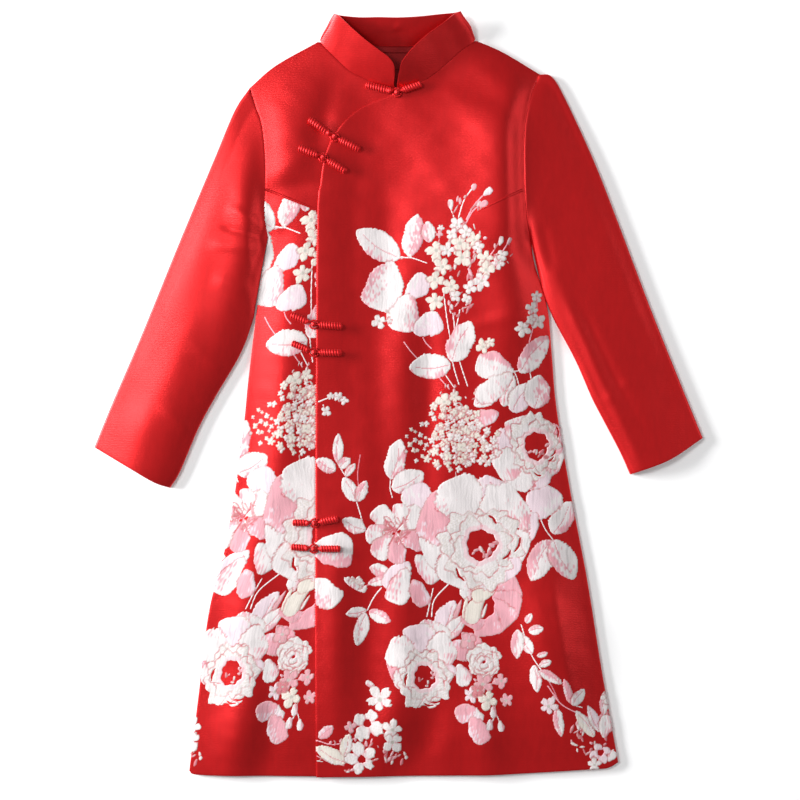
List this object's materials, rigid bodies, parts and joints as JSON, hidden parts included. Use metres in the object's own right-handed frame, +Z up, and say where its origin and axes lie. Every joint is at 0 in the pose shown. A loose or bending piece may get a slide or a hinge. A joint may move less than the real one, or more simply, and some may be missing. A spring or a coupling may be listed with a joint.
{
  "type": "cheongsam dress",
  "caption": "Long A-line cheongsam coat-dress laid flat, with stand collar, curved over-front, frog fastenings and set-in sleeves in floral jacquard satin.",
  "frame": {"origin": "middle of the dress's outline, on the surface it lies on, under the back panel", "axes": "+Z up from the surface, +Y from the hem to the collar, +X to the right seen from above, which is the wearer's left"},
  "size_m": [0.7788, 0.9793, 0.0291],
  "materials": {
    "satin": "plain red satin, soft sheen",
    "jacquard": "red satin with a raised white and pink floral jacquard",
    "lining": "smooth shiny lining",
    "frog_cord": "bias cord wound with thread"
  },
  "bodies": {
    "root": {"back_panel": "jacquard", "front_under": "jacquard", "front_over": "jacquard", "sleeve_left": "satin", "sleeve_right": "satin", "collar_band": "satin", "back_neck_facing": "lining", "frog_1_loop": "frog_cord", "frog_1_knot": "frog_cord", "frog_2_loop": "frog_cord", "frog_2_knot": "frog_cord", "frog_3_loop": "frog_cord", "frog_3_knot": "frog_cord", "frog_4_loop": "frog_cord", "frog_4_knot": "frog_cord", "frog_5_loop": "frog_cord", "frog_5_knot": "frog_cord", "frog_6_loop": "frog_cord", "frog_6_knot": "frog_cord", "frog_7_loop": "frog_cord", "frog_7_knot": "frog_cord"}
  },
  "joints": []
}
